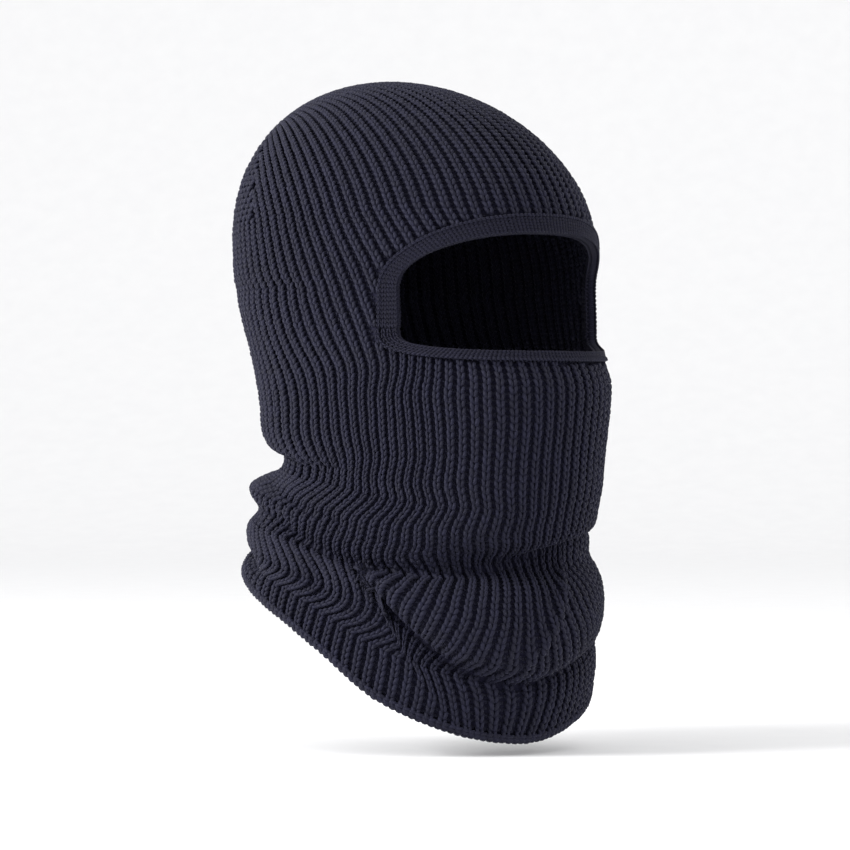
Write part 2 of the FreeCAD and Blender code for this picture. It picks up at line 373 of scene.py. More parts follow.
drift_table = np.array([np.interp(np.abs(degrees), drift_turns, row[1]) for row in drift_rows[::-1]])
drift_table *= np.where(degrees > 0, 0.9, -0.6)
drift = np.stack([np.interp(z[:, k], drift_heights, drift_table[:, k]) for k in range(len(turns))], 1)
soften = np.exp(-0.5 * (np.arange(-16, 17) / 7) ** 2)
soften /= soften.sum()
for axis in (0, 1):
    drift = np.apply_along_axis(
        lambda line: np.convolve(np.pad(line, 16, "edge" if axis == 0 else "wrap"), soften, "valid"), axis,
                                drift)
drift -= drift[:1]
fan_profile = np.interp(swag_place, [-0.3, 0.0, 0.45, 0.85, 1.05, 1.6], [0, -0.5, 0.1, 0.95, 0.75, 0])
fan = 13.0 * np.tanh(from_ridge / 20) * fan_profile * np.clip(swag_full / 7, 0, 1)
slide = (drift + fan) * (1 - hill(180 - np.abs(degrees), 12))  # still where the tube's ends meet

# %% The tube as a panel
wale_marks = np.arange(0, wales * per_wale + 1) / per_wale - wales / 2
tube = np.zeros((len(wale_marks), len(levels), 3))
for k in range(len(levels)):
    length = loop_length(skin[k])
    whole = length[-1] - length[0]
    plain = np.interp(wale_marks / wales * whole, length, turns)
    moved = wale_marks / wales * whole + np.interp(plain, turns, slide[k])
    place = np.interp((moved - length[0]) % whole + length[0], length, turns)
    place[0], place[-1] = turns[0], turns[-1]
    for axis in range(3):
        tube[:, k, axis] = np.interp(place, turns, skin[k, :, axis])
tube = np.stack([evenly(column, tube_rows * per_row + 1)[0] for column in tube])
tube_panel = Panel(tube, -wales / 2, 0, True)
print("tube", wales, "ribs by", tube_rows, "rows; front column",
      round(float(np.linalg.norm(np.diff(tube[len(tube) // 2], axis=0), axis=1).sum())), "mm long")

# %% The crown as two panels
# share says how many of a panel's ribs are left at each distance from the pole.
polars = np.radians(np.concatenate([np.linspace(80, 12, 69), np.linspace(11.5, 0.5, 23)]))


def crown_panel(middle, half_span, half_wales, share):
    """A crown panel. middle is its middle turn, half_span the turn from there to the seam."""
    marks = np.arange(-(half_wales + 1) * per_wale, (half_wales + 1) * per_wale + 1) / per_wale
    fine = np.linspace(-1.35, 1.35, 541) * half_span
    columns = np.zeros((len(marks), len(polars), 3))
    left = np.zeros(len(polars))
    for k, polar in enumerate(polars):
        points = crown(middle + fine, polar)
        length = np.concatenate([[0], np.cumsum(np.linalg.norm(np.diff(points, axis=0), axis=1))])
        length -= np.interp(0, fine, length)
        to_seam = np.interp(half_span, fine, length)
        left[k] = share(math.degrees(polar), to_seam)
        at = np.clip(marks / half_wales / (left[k] / left[0]), -1.3, 1.3) * to_seam
        for axis in range(3):
            columns[:, k, axis] = np.interp(at, length, points[:, axis])
    left *= half_wales / left[0]
    grid, last_row = [], []
    rows = 66 * per_row
    for mark, column in zip(marks, columns):
        even, at, length = evenly(column, row_height / per_row)
        ends = np.interp(-abs(mark), -left, length) if abs(mark) < left[0] else 0.0
        last_row.append(ends / row_height)
        even = even[:rows]
        grid.append(np.concatenate([even, np.repeat(even[-1:], rows - len(even), axis=0)]))
    panel = Panel(np.stack(grid)[:, ::-1], marks[0], -(rows - 1) / per_row, False)
    panel.marks, panel.last_row = marks, np.array(last_row)
    return panel


def front_share(polar, to_seam):
    return (((polar / 80) ** 0.25) ** -8 + (to_seam / 112) ** -8) ** (-1 / 8)


seam_turn = float(np.interp(seam_wale / wales * np.ptp(loop_length(skin[0])), loop_length(skin[0]), turns))
front_panel = crown_panel(0.0, seam_turn, seam_wale, front_share)
back_panel = crown_panel(math.pi, math.pi - seam_turn, wales / 2 - seam_wale, lambda polar,
                         _: (polar / 80) ** 0.75)
print("rows on the crown: front", round(front_panel.last_row.max()), "back",
      round(back_panel.last_row.max()))

# %% [markdown]
# ## The face opening
# Seen from the front the opening has a broad arch over the brow and a nearly straight lower edge. Its
# outline is the same one that the CAD solids use, so the fabric, the bands and their threads all meet along
# it.

# %% The outline, and how far a place lies from it
half_opening, roof_height, floor_height, upper_bend, lower_bend = 64.0, -75.5, -133.0, -104.0, -122.0


def opening_gap(place, top, side, bottom):
    """How far a place lies outside the opening grown by these margins. It is negative inside."""
    x, y, height = place[..., 0], place[..., 1], place[..., 2]
    half = half_opening + side
    share = np.clip(np.abs(x) / half, 0, 1)
    roof = upper_bend + (roof_height + top - upper_bend) * (1 - share ** 2.5) ** 0.4
    floor = lower_bend - (lower_bend - floor_height + bottom) * (1 - share ** 4) ** 0.25
    gap = np.maximum(np.maximum(height - roof, floor - height), np.abs(x) - half)
    return np.where(y < 0, gap, 99.0)


def on_front(x, height):
    """Wale and row of places on the front of the tube, seen from the front. Newton's method finds them."""
    wale, row = -x / 7.0, (-height - 62) / 3.3
    for _ in range(12):
        here = tube_panel.at(wale, row)[0]
        by_wale = (tube_panel.at(wale + 0.1, row)[0] - here) / 0.1
        by_row = (tube_panel.at(wale, row + 0.1)[0] - here) / 0.1
        dx, dz = x - here[..., 0], height - here[..., 2]
        size = by_wale[..., 0] * by_row[..., 2] - by_row[..., 0] * by_wale[..., 2]
        wale = wale + np.clip((dx * by_row[..., 2] - by_row[..., 0] * dz) / size, -2, 2)
        row = row + np.clip((by_wale[..., 0] * dz - dx * by_wale[..., 2]) / size, -2, 2)
    return wale, row


def band_panel(upper, margins, across, pitch):
    """A panel along the opening's edge. Its wales run across the band from the edge, its rows along it."""
    top, side, bottom = margins
    bend = np.linspace(0, math.pi, 241)
    rows_of_points = []
    for part in np.linspace(-0.15, 1.3, 30):
        half = half_opening + side * part
        if upper:
            x = half * np.sign(np.cos(bend)) * np.abs(np.cos(bend)) ** 0.8
            height = upper_bend + (roof_height + top * part - upper_bend) * np.abs(np.sin(bend)) ** 0.8
            stile = np.linspace(lower_bend, upper_bend, 19)[:-1]
            x = np.concatenate([np.full(18, half), x, np.full(18, -half)])
            height = np.concatenate([stile, height, stile[::-1]])
        else:
            x = half * np.sign(np.cos(bend)) * np.abs(np.cos(bend)) ** 0.5
            height = lower_bend - (lower_bend - floor_height + bottom * part) * np.abs(np.sin(bend)) ** 0.5
        rows_of_points.append(tube_panel.at(*on_front(x, height))[0])
    grid = np.array(rows_of_points)
    middle = grid[14]
    length = np.concatenate([[0], np.cumsum(np.linalg.norm(np.diff(middle, axis=0), axis=1))])
    count = int(round(length[-1] / pitch))
    at = np.linspace(0, length[-1], count * 2 + 1)
    even = np.stack([np.stack([np.interp(at, length, line[:, k]) for k in range(3)], 1) for line in grid])
    panel = Panel(even, -0.15 * across, 0, False, (29 / 1.45 / across, 2))
    panel.rows = count
    return panel


brow_margins, brow_wales, mouth_wales = (7.5, 4.0, 4.0), 5, 3
brow_panel = band_panel(True, brow_margins, brow_wales, 2.1)
mouth_panel = band_panel(False, brow_margins, mouth_wales, 2.1)
print("band stitches: brow", brow_panel.rows, "mouth edge", mouth_panel.rows)

# %% [markdown]
# ## The fabric under the stitches
# Between the raised ribs the fabric lies deep, where the purl side of the stitches shows. One closed sheet
# stands for that layer: it swells under each rib and sinks in each furrow, on both faces. It is cut out at
# the opening and at the crown seam. The rolls and folds of a worn hood are frozen where they rest, so the
# sheet is shaped by mesh maths. A cloth simulation was not tried; it would probably blur ribs this fine.

# %% Mesh helpers


def new_piece(name, points, faces, material, marks=None, smooth=True):
    """A mesh object from points in millimetres. marks gives each corner's place in the knit, as a UV."""
    mesh = bpy.data.meshes.new(name)
    points = np.asarray(points, float) * 0.001
    if isinstance(faces, np.ndarray):
        mesh.vertices.add(len(points))
        mesh.vertices.foreach_set("co", points.ravel())
        mesh.loops.add(faces.size)
        mesh.loops.foreach_set("vertex_index", faces.ravel().astype(np.int32))
        mesh.polygons.add(len(faces))
        mesh.polygons.foreach_set("loop_start", np.arange(0, faces.size, faces.shape[1], dtype=np.int32))
        mesh.update(calc_edges=True)
    else:
        mesh.from_pydata(points.tolist(), [], faces)
    if marks is not None:
        layer = mesh.uv_layers.new(name="knit")
        layer.data.foreach_set("uv", np.asarray(marks, np.float32).ravel())
    mesh.polygons.foreach_set("use_smooth", np.full(len(mesh.polygons), smooth))
    mesh.materials.append(material)
    piece = bpy.data.objects.new(name, mesh)
    scene.collection.objects.link(piece)
    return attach(piece, "root")


def closed_sheet(name, outer, inner, faces, material, marks):
    """Closes two skins that share their faces with a rim along every open edge."""
    edges = {}
    for face in faces:
        for a, b in zip(face, face[1:] + face[:1]):
            edges[(a, b)] = edges.get((a, b), 0) + 1
    count = len(outer)
    rims = [(b, a, a + count, b + count) for (a, b) in edges if (b, a) not in edges]
    every = faces + [tuple(v + count for v in reversed(face)) for face in faces] + rims
    corner_marks = np.array([marks[v % count] for face in every for v in face])
    return new_piece(name, np.concatenate([outer, inner]), every, material, corner_marks)


def cut_faces(faces, gap):
    """Keeps the part of each face where gap is above 0. New corners come as (a, b, share from a to b)."""
    kept, cuts, number = [], [], {}
    for face in faces:
        inside = [gap[v] > 0 for v in face]
        if all(inside):
            kept.append(face)
            continue
        if not any(inside):
            continue
        new = []
        for a, b in zip(face, face[1:] + face[:1]):
            if gap[a] > 0:
                new.append(a)
            if (gap[a] > 0) != (gap[b] > 0):
                key = (min(a, b), max(a, b))
                if key not in number:
                    number[key] = len(gap) + len(cuts)
                    cuts.append((*key, gap[key[0]] / (gap[key[0]] - gap[key[1]])))
                new.append(number[key])
        if len(new) > 2:
            kept.append(tuple(new))
    return kept, cuts

# %% [markdown]
# ## Yarn and cloth finishes
# The yarn is soft acrylic, dyed navy so dark that only its loose fibres catch the light. So the colour is
# nearly black, roughness is high, and a sheen gives the grey bloom. Ply twist and stray fibres are bump.
# Each yarn leg differs a little in shade, as it does where a real yarn turns towards or away from the
# light.

# %% Yarn finish


def finish(name, **fixed):
    """A new material and its shader. fixed values go straight on the shader's own sockets."""
    made = bpy.data.materials.new(name)
    made.use_nodes = True
    shader = made.node_tree.nodes["Principled BSDF"]
    for socket, value in fixed.items():
        shader.inputs[socket.replace("_", " ")].default_value = value
    return made, Shade(made.node_tree), shader


def yarn_finish(name, dark, light, sheen, twist):
    made, tree, shader = finish(name, Sheen_Weight=sheen, Sheen_Roughness=0.45,
                                Sheen_Tint=(0.62, 0.62, 0.85, 1), Specular_IOR_Level=0.25)
    lengthwise = tree.node("SeparateXYZ", Vector=tree.node("UVMap", {"uv_map": "knit"}))
    around = lengthwise.part(1)
    place = tree.node("TexCoord", {}, 3)
    leg = tree.node("TexWhiteNoise", {"noise_dimensions": "1D"}, 0, W=(lengthwise / 8.0).floor())
    fibre = tree.node("TexNoise", {}, 0, Vector=place, Scale=2600.0, Detail=3.0, Roughness=0.7)
    patch = tree.node("TexNoise", {}, 0, Vector=place, Scale=28.0, Detail=2.0)
    shade = leg * 0.45 + fibre * 0.35 + patch * 0.35
    shade.between(dark, light).drive(shader, "Base Color")
    (fibre * 0.25 + 0.58).drive(shader, "Roughness")
    ply = ((around * 12.566 + lengthwise * twist).sine() * 0.5 + 0.5) ** 0.6
    relief = ply * 0.6 + fibre * 0.55
    bump = tree.node("Bump", {}, 0, Strength=0.75, Distance=0.00035, Height=relief)
    bump.drive(shader, "Normal")
    return made


navy_yarn = yarn_finish("navy_rib_yarn", (0.0009, 0.0008, 0.0068), (0.0062, 0.0064, 0.0225), 0.055, 4.2)
# The band yarn is the rib yarn's navy set darker: painted shade on the band round the opening.
navy_band_yarn_painted_shade = yarn_finish("navy_band_yarn_painted_shade", (0.0009, 0.0008, 0.0066), (0.0042, 0.0040, 0.0180), 0.03,
                             6.0)
navy_thread = yarn_finish("navy_sewing_thread", (0.0011, 0.0010, 0.008), (0.0062, 0.0062, 0.0225), 0.05,
                          9.0)

# %% Cloth finish for the furrows, the band's core and the seam edge


def cloth_finish(name, dark, light, bars):
    """Fabric seen between the stitches: purl bars across each furrow, with fibres over them."""
    made, tree, shader = finish(name, Sheen_Weight=0.04, Sheen_Roughness=0.5,
                                Sheen_Tint=(0.55, 0.55, 0.8, 1), Specular_IOR_Level=0.2)
    wale = tree.node("SeparateXYZ", Vector=tree.node("UVMap", {"uv_map": "knit"}))
    row = wale.part(1)
    place = tree.node("TexCoord", {}, 3)
    fibre = tree.node("TexNoise", {}, 0, Vector=place, Scale=2200.0, Detail=3.0, Roughness=0.7)
    bar = ((row + (wale * 6.283).sine() * 0.12) * 6.283 * bars).sine() * 0.5 + 0.5
    # The colour is lighter on each purl bar and darker between bars, as the bump is: painted shade between the
    # bars.
    shade = bar * 0.6 + fibre * 0.5
    shade.between(dark, light).drive(shader, "Base Color")
    (0.95 - fibre * 0.15).drive(shader, "Roughness")
    bump = tree.node("Bump", {}, 0, Strength=0.9, Distance=0.0007, Height=bar * 0.7 + fibre * 0.3)
    bump.drive(shader, "Normal")
    return made


# Both cloths are darker than their yarns: the yarn's own navy, with painted shade where the cloth lies deep
# between the stitches.
furrow_cloth_painted_shade = cloth_finish("navy_furrow_cloth", (0.0009, 0.0008, 0.0060), (0.0036, 0.0034, 0.015), 1.0)
band_cloth_painted_shade = cloth_finish("navy_band_cloth", (0.0009, 0.0008, 0.0060), (0.0038, 0.0036, 0.016), 2.0)

# %% The rib sheet
sheet_rows, crown_steps, columns_per_wale = 100, 36, 4


def relief(wale):
    """Heights of the outer and inner skins against the crests: high at a rib's middle, low in a furrow."""
    outer = -2.2 - 0.95 * np.cos(2 * math.pi * wale)
    return outer, outer - 0.9


def skins(panel, wale, row, tuck=0.0):
    point, normal = panel.at(wale, row)
    outer, inner = relief(wale)
    return point + normal * (outer - tuck)[..., None], point + normal * (inner - tuck)[..., None]


marks_w = np.arange(wales * columns_per_wale) / columns_per_wale - wales / 2
marks_r = np.linspace(0, tube_rows, sheet_rows + 1)
grid_w, grid_r = np.meshgrid(marks_w, marks_r, indexing="ij")
outer, inner = skins(tube_panel, grid_w, grid_r)
number = np.arange(grid_w.size).reshape(grid_w.shape)
outers, inners, marks = [outer.reshape(-1, 3)], [inner.reshape(-1, 3)], [np.stack([grid_w, grid_r],
                                                            -1).reshape(-1, 2)]
faces = []
for i in range(len(marks_w)):
    for j in range(sheet_rows):
        n = (i + 1) % len(marks_w)
        faces.append((int(number[i, j]), int(number[i, j + 1]), int(number[n, j + 1]), int(number[n, j])))
total = grid_w.size
for panel, half, middle in ((front_panel, seam_wale, 0.0), (back_panel, wales / 2 - seam_wale, wales / 2)):
    w = np.arange(-half * columns_per_wale, half * columns_per_wale + 1) / columns_per_wale
    ends = np.interp(w, panel.marks, panel.last_row)
    fall = np.linspace(1, 0, crown_steps + 1)
    gw = np.repeat(w[:, None], crown_steps + 1, 1)
    gr = -ends[:, None] * fall[None, :]
    tuck = 1.6 * np.exp(-((1 - fall[None, :]) * ends[:, None] * row_height / 2.2) ** 2)
    point, normal = panel.at(gw, gr)
    high, low = relief(gw + middle)
    out = point + normal * (high - tuck)[..., None]
    into = point + normal * (low - tuck)[..., None]
    ids = np.arange(gw.size).reshape(gw.shape) + total
    tube_column = np.round(((w + middle + wales / 2) % wales) * columns_per_wale).astype(int) % len(marks_w)
    ids[:, -1] = number[tube_column, 0]
    ids[0, :], ids[-1, :] = ids[0, -1], ids[-1, -1]
    outers.append(out.reshape(-1, 3)), inners.append(into.reshape(-1, 3))
    marks.append(np.stack([gw + middle, gr], -1).reshape(-1, 2))
    for i in range(len(w) - 1):
        for j in range(crown_steps):
            face = (int(ids[i, j]), int(ids[i, j + 1]), int(ids[i + 1, j + 1]), int(ids[i + 1, j]))
            face = tuple(dict.fromkeys(face))
            if len(face) > 2:
                faces.append(face)
    total += gw.size
outer, inner, marks = np.concatenate(outers), np.concatenate(inners), np.concatenate(marks)
gap = opening_gap(outer, *(m - 1.2 for m in brow_margins))
faces, cuts = cut_faces(faces, gap)
first, second, share = (np.array(column) for column in zip(*cuts))
first, second, share = first.astype(int), second.astype(int), share[:, None]
outer = np.concatenate([outer, outer[first] * (1 - share) + outer[second] * share])
inner = np.concatenate([inner, inner[first] * (1 - share) + inner[second] * share])
marks = np.concatenate([marks, marks[first] * (1 - share) + marks[second] * share])
used = np.unique([v for face in faces for v in face])
renumber = np.zeros(len(outer), int)
renumber[used] = np.arange(len(used))
faces = [tuple(int(renumber[v]) for v in face) for face in faces]
hood = closed_sheet("hood_knit", outer[used], inner[used], faces, furrow_cloth_painted_shade, marks[used])
print("rib sheet", len(hood.data.polygons), "faces")

# %% [markdown]
# ## Knit stitches
# Each visible rib is a column of V-shaped stitches. The two legs of a V come up from under the stitch
# below, spread, and dive under the next one. Every leg is a short tube of yarn laid along a curve on its
# panel, and a little chance in its place, size and height keeps the ribs from looking stamped.

# %% Lay yarn legs on a panel


def lay_legs(name, place, wale, row, turned, pitch, material, shape, sides=6, steps=5):
    """Lays the two legs of a V at each wale and row. place gives points and normals. shape is
    (foot spread, head spread, foot row, head row, crest height, sunk height, leg width, leg depth)."""
    foot, head, low, high, crest, sunk, width, depth = shape
    count = len(wale)
    t = np.linspace(0, 1, steps + 1)
    side = np.repeat([1.0, -1.0], count)[:, None]
    wale2, row2, pitch2 = np.tile(wale, 2)[:, None], np.tile(row, 2)[:, None], np.tile(pitch, 2)[:, None]
    wobble = chance.normal(0, 1, (4, 2 * count, 1))
    aside = side * (foot + (head - foot) * t ** 0.8) + 0.012 * wobble[0]
    upward = low + (high - low) * t + 0.035 * wobble[1]
    lift = sunk + (crest - sunk) * np.sin(math.pi * t) ** 0.75 + 0.10 * wobble[2] * pitch2 / 7
    swell = (1 + 0.05 * wobble[3]) * pitch2 / 7
    point, normal = place(wale2 + aside, row2 - upward, turned)
    path = point + normal * (lift * np.minimum(1, pitch2 / 7 + 0.15))[..., None]
    along_path = np.gradient(path, axis=1)
    along_path /= np.linalg.norm(along_path, axis=2, keepdims=True) + 1e-9
    across = np.cross(along_path, normal)
    across /= np.linalg.norm(across, axis=2, keepdims=True) + 1e-9
    out = np.cross(across, along_path)
    taper = (0.55 + 0.45 * np.sin(math.pi * t) ** 0.5)[None, :, None, None]
    turn = np.arange(sides) / sides * 2 * math.pi
    rim = (across[:, :, None] * np.cos(turn)[None, None, :, None] * width
           + out[:, :, None] * np.sin(turn)[None, None, :, None] * depth)
    points = path[:, :, None] + rim * swell[:, :, None, None] * taper
    ring_of = np.arange(sides)
    base = []
    for k in range(steps):
        for a in ring_of:
            b = (a + 1) % sides
            base.append((k * sides + a, (k + 1) * sides + a, (k + 1) * sides + b, k * sides + b))
    last = steps * sides
    for a in range(1, sides - 2, 2):
        base.append((0, a, a + 1, a + 2))
        base.append((last, last + a + 2, last + a + 1, last + a))
    base = np.array(base)
    per_leg = (steps + 1) * sides
    faces = (base[None] + (np.arange(2 * count) * per_leg)[:, None, None]).reshape(-1, 4)
    length, round_share = np.repeat(t * 5.0, sides), np.tile(ring_of / sides, steps + 1)
    marks = np.stack([length[base], round_share[base]], -1)
    marks[:steps * sides, :, 1][marks[:steps * sides, :, 1] < marks[:steps * sides, :1, 1] - 0.01] += 1.0
    marks = np.repeat(marks[None], 2 * count, axis=0)
    marks[..., 0] += (np.arange(2 * count) * 8.0)[:, None, None]
    volume_way = np.einsum("ij,ij->i",
                           np.cross(points[:, 0, 1] - points[:, 0, 0], points[:, 0, 2] - points[:, 0, 0]),
                           along_path[:, 0])
    if np.median(volume_way) > 0:
        faces, marks = faces[:, ::-1], marks[:, :, ::-1]
    return new_piece(name, points.reshape(-1, 3), np.ascontiguousarray(faces), material,
                     marks.reshape(-1, 2))


wall = 5.0                                              # from the outer crests to the inner crests


def on_panel(panel, middle=0.0):
    """Places on a panel's outer or inner face. Heights count away from the fabric on both."""
    def place(wale, row, turned):
        point, normal = panel.at(wale - middle, row)
        return (point - normal * wall, -normal) if turned else (point, normal)
    return place


def pitch_at(panel, wale, row, middle=0.0):
    left, right = panel.at(wale - middle - 0.5, row)[0], panel.at(wale - middle + 0.5, row)[0]
    return np.clip(np.linalg.norm(right - left, axis=-1), 3.0, 8.5)


rib_shape = (0.04, 0.25, -0.55, 0.85, -0.70, -2.6, 1.02, 0.95)

# %% Where the ribs have stitches


def tube_stitches(offset):
    wale, row = np.meshgrid(np.arange(wales) - wales / 2 + offset, np.arange(tube_rows) + 0.5,
                            indexing="ij")
    wale, row = wale.ravel(), row.ravel()
    gap = opening_gap(tube_panel.at(wale, row)[0], *(m + 1.3 for m in brow_margins))
    return wale[gap > 0], row[gap > 0]


def crown_stitches(panel, half, middle, offset):
    rib = np.arange(math.ceil(-half - offset), math.floor(half - offset) + 1) + offset
    wale, row = np.meshgrid(rib, -np.arange(0, 66) - 0.5, indexing="ij")
    wale, row = wale.ravel(), row.ravel()
    inside = row > -np.interp(wale, panel.marks, panel.last_row) + 0.15
    return wale[inside] + middle, row[inside]


rib_zones = {"ribs_brow_and_temples": (0, 20), "ribs_cheeks_and_ears": (20, 38),
             "ribs_chin_and_nape": (38, 54),
             "ribs_bib": (54, 69), "ribs_hem": (69, 84)}
tube_place = on_panel(tube_panel)
wale, row = tube_stitches(0.5)
for name, (first, last) in rib_zones.items():
    here = (row >= first) & (row < last)
    pitch = pitch_at(tube_panel, wale[here], row[here])
    lay_legs(name, tube_place, wale[here], row[here], False, pitch, navy_yarn, rib_shape)
for name, panel, half, middle in (("ribs_crown_front", front_panel, seam_wale, 0.0),
                                  ("ribs_crown_back", back_panel, wales / 2 - seam_wale, wales / 2)):
    wale_c, row_c = crown_stitches(panel, half, middle, 0.5)
    pitch = pitch_at(panel, wale_c, row_c, middle)
    lay_legs(name, on_panel(panel, middle), wale_c, row_c, False, pitch, navy_yarn,
                             rib_shape)
    print(name, len(wale_c), "stitches")

# %% [markdown]
# ## Bands round the opening
# A knit edge curls and frays, so a narrow band is linked to it. The band is finer than the ribs and its
# stitches run along the edge. It is doubled over, which makes it thick and round. Its core is one closed
# strip, and five wales of small stitches lie on it. The mouth edge has a narrower band of three wales.

# %% Band cores


def outward(panel):
    """1 where the panel's normals point away from the head, and -1 where they point into it."""
    point, normal = panel.at(np.array([1.0]), np.array([panel.rows / 2]))
    return 1.0 if normal[0, 1] < 0 else -1.0


def band_core(name, panel, across, profile, material):
    facing = outward(panel)
    rows = np.arange(0, panel.rows * 2 + 1) / 2
    share, height = np.array(profile).T
    w, r = np.meshgrid(share * across, rows, indexing="ij")
    point, normal = panel.at(w, r)
    ring_points = point + normal * (facing * height[:, None, None])
    sides, count = len(share), len(rows)
    number = np.arange(sides * count).reshape(sides, count)
    faces = [(int(number[a, k]), int(number[a, k + 1]), int(number[(a + 1) % sides, k + 1]),
              int(number[(a + 1) % sides, k])) for a in range(sides) for k in range(count - 1)]
    faces += [tuple(int(v) for v in number[::-1, 0]), tuple(int(v) for v in number[:, -1])]
    if facing < 0:
        faces = [face[::-1] for face in faces]
    marks = np.stack([w, r], -1).reshape(-1, 2)
    return new_piece(name, ring_points.reshape(-1, 3), faces, material,
                     np.array([marks[v] for face in faces for v in face]))


band_profile = [(0, -1.9), (0.02, -0.9), (0.12, -0.1), (0.5, 0.15), (0.88, -0.1), (1, -0.8), (1, -3.0),
                (0.5, -3.9), (0.1, -3.6), (0, -2.8)]
brow_core = band_core("brow_band_core", brow_panel, brow_wales, band_profile, band_cloth_painted_shade)
mouth_core = band_core("mouth_edge_core", mouth_panel, mouth_wales, band_profile, band_cloth_painted_shade)

# %% Stitches on the bands and the linking chains
band_shape = (0.05, 0.36, -0.5, 0.75, 1.9, -0.9, 2.1, 1.9)
link_shape = (0.02, 0.34, -0.5, 0.85, 3.2, -2.4, 2.0, 1.8)


def along_band(name, panel, lines, shape, material, lift, turned=False):
    facing = outward(panel)

    def place(wale, row, inside):
        point, normal = panel.at(wale, row)
        normal = normal * facing
        return (point - normal * (3.8 + lift), -normal) if inside else (point + normal * lift, normal)

    wale, row = np.meshgrid(lines, np.arange(panel.rows) + 0.5, indexing="ij")
    wale, row = wale.ravel(), row.ravel()
    return lay_legs(name, place, wale, row, turned, np.full(len(wale), 1.5), material, shape)


brow_stitches = [along_band("brow_band_stitches", brow_panel, np.arange(5) + 0.5, band_shape,
                            navy_band_yarn_painted_shade, 0.0),
                 along_band("brow_band_lining", brow_panel, np.arange(5) + 0.5, band_shape, navy_band_yarn_painted_shade,
                            0.0, True)]
mouth_stitches = [along_band("mouth_edge_stitches", mouth_panel, np.arange(3) + 0.5, band_shape,
                             navy_band_yarn_painted_shade, 0.0),
                  along_band("mouth_edge_lining", mouth_panel, np.arange(3) + 0.5, band_shape,
                             navy_band_yarn_painted_shade, 0.0,
                             True)]
band_link = along_band("band_linking_chain", brow_panel, np.array([5.45]), link_shape, navy_thread, 0.1)
mouth_link = along_band("mouth_edge_chain", mouth_panel, np.array([3.4]), link_shape, navy_thread, 0.1)
print("band stitches laid")

# %% [markdown]
# ## The inside of the ribs
# A rib knit is the same on both faces: where a furrow lies outside, a rib stands inside. So the inside has
# its own columns of stitches, half a rib along. They show through the opening and the neck. They are laid
# with fewer sides, because they are only seen in shade.

# %% Ribs on the inside
inner_zones = {"inside_ribs_upper": (0, 28), "inside_ribs_middle": (28, 56), "inside_ribs_lower": (56, 84)}
wale, row = tube_stitches(0.0)
for name, (first, last) in inner_zones.items():
    here = (row >= first) & (row < last)
    pitch = pitch_at(tube_panel, wale[here], row[here])
    lay_legs(name, tube_place, wale[here], row[here], True, pitch, navy_yarn, rib_shape, 4,
                             4)
for name, panel, half, middle in (("inside_ribs_crown_front", front_panel, seam_wale, 0.0),
                                  ("inside_ribs_crown_back", back_panel, wales / 2 - seam_wale, wales / 2)):
    wale_c, row_c = crown_stitches(panel, half - 0.6, middle, 0.0)
    pitch = pitch_at(panel, wale_c, row_c, middle)
    lay_legs(name, on_panel(panel, middle), wale_c, row_c, True, pitch, navy_yarn,
                             rib_shape, 4, 4)
print("inside ribs laid")

# %% [markdown]
# ## Crown seam and tack
# The tube is closed by an overlocked seam that runs from ear to ear over the back of the crown. Outside it
# is only a fine ridge where the ribs meet. Inside, the overlock thread wraps both edges. A bar tack gathers
# its middle.

# %% The seam's line
seam_w = np.linspace(-seam_wale + 0.4, seam_wale - 0.4, 400)
seam_point, seam_normal = front_panel.at(seam_w,
                                         -np.interp(seam_w, front_panel.marks, front_panel.last_row))
seam_length = np.concatenate([[0], np.cumsum(np.linalg.norm(np.diff(seam_point, axis=0), axis=1))])
seam_way = np.gradient(seam_point, axis=0)
seam_way /= np.linalg.norm(seam_way, axis=1, keepdims=True)
seam_across = np.cross(seam_normal, seam_way)
seam_across /= np.linalg.norm(seam_across, axis=1, keepdims=True)


def on_seam(drop):
    """Places along the seam: a row is a millimetre along it and a wale a millimetre across it."""
    def place(wale, row, turned):
        at = [np.stack([np.interp(row, seam_length, line[:, k]) for k in range(3)], -1)
              for line in (seam_point, seam_normal, seam_across)]
        way = -1.0 if turned else 1.0
        return at[0] + at[2] * wale[..., None] + at[1] * way * drop, at[1] * way
    return place


tube_bend = np.linspace(0, math.pi, 7)
seam_profile = [(2.0, 5.2)] + [(1.9 * math.cos(b), 5.4 + 0.9 * math.sin(b)) for b in tube_bend] + [(-2.0,
                                                            5.2),
                                                                                                (0.0, 4.6)]
steps = np.linspace(0, seam_length[-1], 260)
rings_of_seam = [on_seam(height)(np.full(260, aside), steps, True)[0] for aside, height in seam_profile]
rings_of_seam = np.array(rings_of_seam)
number = np.arange(rings_of_seam[..., 0].size).reshape(rings_of_seam.shape[:2])
around, count = number.shape
faces = [(int(number[a, k]), int(number[(a + 1) % around, k]), int(number[(a + 1) % around, k + 1]),
          int(number[a, k + 1])) for a in range(around) for k in range(count - 1)]
faces += [tuple(int(v) for v in number[:, 0][::-1]), tuple(int(v) for v in number[:, -1])]
marks = np.stack([np.broadcast_to(np.arange(around)[:, None] / 3, number.shape),
                  np.broadcast_to(steps[None] / 2, number.shape)], -1).reshape(-1, 2)
seam_core = new_piece("crown_seam_edge", rings_of_seam.reshape(-1, 3), faces, band_cloth_painted_shade,
                      np.array([marks[v] for face in faces for v in face]))
loops = np.arange(1.0, seam_length[-1] - 1, 1.7)
seam_shape = (0.25, 1.7, -0.9, 0.9, 0.9, -0.3, 1.5, 1.5)
seam_chain = lay_legs("crown_seam_overlock", on_seam(5.9), np.zeros(len(loops)), loops, True,
                      np.full(len(loops), 2.0), navy_thread, seam_shape)
middle = seam_length[-1] / 2
bars, along_bar = np.meshgrid(np.arange(-3.2, 3.3, 0.8), middle + np.arange(-4.4, 4.5, 1.1), indexing="ij")
